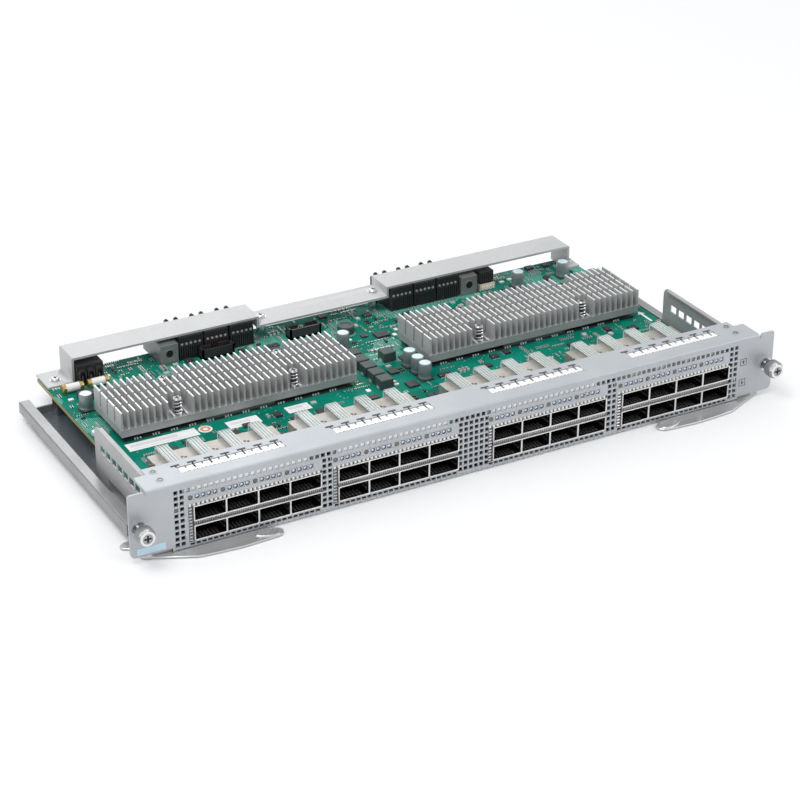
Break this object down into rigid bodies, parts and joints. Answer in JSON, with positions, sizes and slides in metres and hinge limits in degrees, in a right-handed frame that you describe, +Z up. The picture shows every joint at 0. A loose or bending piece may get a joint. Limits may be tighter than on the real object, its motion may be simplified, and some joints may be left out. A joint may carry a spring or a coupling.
{
  "type": "switch line card",
  "caption": "Switch line card: open sheet-metal tray with a circuit board, perforated front panel with ganged module ports, finned heat sinks, rear plugs, ejector levers and thumbscrews.",
  "frame": {"origin": "middle of the front panel's front face, at the level of the flat underside", "axes": "+X to the right along the front panel, +Y from the front panel back into the card, +Z up"},
  "size_m": [0.4166, 0.2216, 0.0424],
  "materials": {
    "black_plastic": "matte",
    "board_green": "satin",
    "brass_cap": "polished",
    "cage_nickel": "satin",
    "chip_black": "satin",
    "clear_acrylic": "clear gloss",
    "dark_zinc": "satin",
    "ferrite": "matte",
    "fuse_white": "gloss",
    "gasket_steel": "satin",
    "label_white": "matte",
    "lever_steel": "polished",
    "panel_metal": "satin",
    "sink_aluminium": "satin",
    "spring_steel": "satin",
    "steel_bright": "polished",
    "steel_fastener": "satin",
    "zinc_sheet": "satin"
  },
  "bodies": {
    "base": {"front_panel": "panel_metal", "top_flange": "panel_metal", "tray_floor": "dark_zinc", "tray_rear_lip": "zinc_sheet", "left_guide_rail": "zinc_sheet", "right_guide_rail": "zinc_sheet", "left_side_bracket": "zinc_sheet", "right_side_bracket": "zinc_sheet", "pivot_plates": "zinc_sheet", "nut_bars": "zinc_sheet", "flange_screws": "steel_fastener", "main_board": "board_green", "board_standoffs": "steel_fastener", "board_screws": "steel_fastener", "upper_cage_1": "cage_nickel", "upper_cage_2": "cage_nickel", "upper_cage_3": "cage_nickel", "upper_cage_4": "cage_nickel", "lower_cage_1": "cage_nickel", "lower_cage_2": "cage_nickel", "lower_cage_3": "cage_nickel", "lower_cage_4": "cage_nickel", "upper_sockets": "black_plastic", "lower_sockets": "black_plastic", "port_gaskets": "gasket_steel", "left_light_pipes": "clear_acrylic", "right_light_pipes": "clear_acrylic", "port_lenses": "clear_acrylic", "left_heat_sink": "sink_aluminium", "right_heat_sink": "sink_aluminium", "sink_seats": "chip_black", "processors": "chip_black", "sink_screws": "steel_bright", "sink_springs": "spring_steel", "rear_cover": "zinc_sheet", "cover_posts": "brass_cap", "cover_screws": "steel_fastener", "left_backplane_modules": "black_plastic", "right_backplane_modules": "black_plastic", "left_guide_block": "black_plastic", "right_guide_block": "black_plastic", "power_connector": "black_plastic", "small_plug_base": "label_white", "small_plug": "black_plastic", "box_headers": "black_plastic", "header_pins": "brass_cap", "fuse_tubes": "fuse_white", "fuse_end_caps": "brass_cap", "capacitors": "sink_aluminium", "inductors": "ferrite", "board_chips": "chip_black", "board_labels": "label_white", "pivot_pins": "steel_fastener", "thumb_bushings": "steel_fastener"},
    "left_lever": {"left_ejector_lever": "lever_steel"},
    "right_lever": {"right_ejector_lever": "lever_steel"},
    "left_thumb_carrier": {"left_thumb_spring": "spring_steel"},
    "right_thumb_carrier": {"right_thumb_spring": "spring_steel"},
    "left_thumb": {"left_thumb_knob": "steel_bright"},
    "right_thumb": {"right_thumb_knob": "steel_bright"}
  },
  "joints": [
    {"name": "left_lever_swing", "type": "hinge", "parent": "base", "child": "left_lever", "pos_m": [-0.191, 0.009, 0.0008], "axis": [0, 0, -1], "range_deg": [0, 50]},
    {"name": "left_thumb_press", "type": "slide", "parent": "base", "child": "left_thumb_carrier", "axis": [0, 1, 0], "range_m": [0, 0.0028], "stiffness_N_per_m": 250, "springref_m": -0.004, "deforming": ["left_thumb_spring"]},
    {"name": "left_thumb_turn", "type": "hinge", "parent": "left_thumb_carrier", "child": "left_thumb", "pos_m": [-0.203, -0.005, 0.0212], "axis": [0, 1, 0], "continuous": true},
    {"name": "right_lever_swing", "type": "hinge", "parent": "base", "child": "right_lever", "pos_m": [0.191, 0.009, 0.0008], "axis": [0, 0, 1], "range_deg": [0, 50]},
    {"name": "right_thumb_press", "type": "slide", "parent": "base", "child": "right_thumb_carrier", "axis": [0, 1, 0], "range_m": [0, 0.0028], "stiffness_N_per_m": 250, "springref_m": -0.004, "deforming": ["right_thumb_spring"]},
    {"name": "right_thumb_turn", "type": "hinge", "parent": "right_thumb_carrier", "child": "right_thumb", "pos_m": [0.203, -0.005, 0.0212], "axis": [0, 1, 0], "continuous": true}
  ]
}
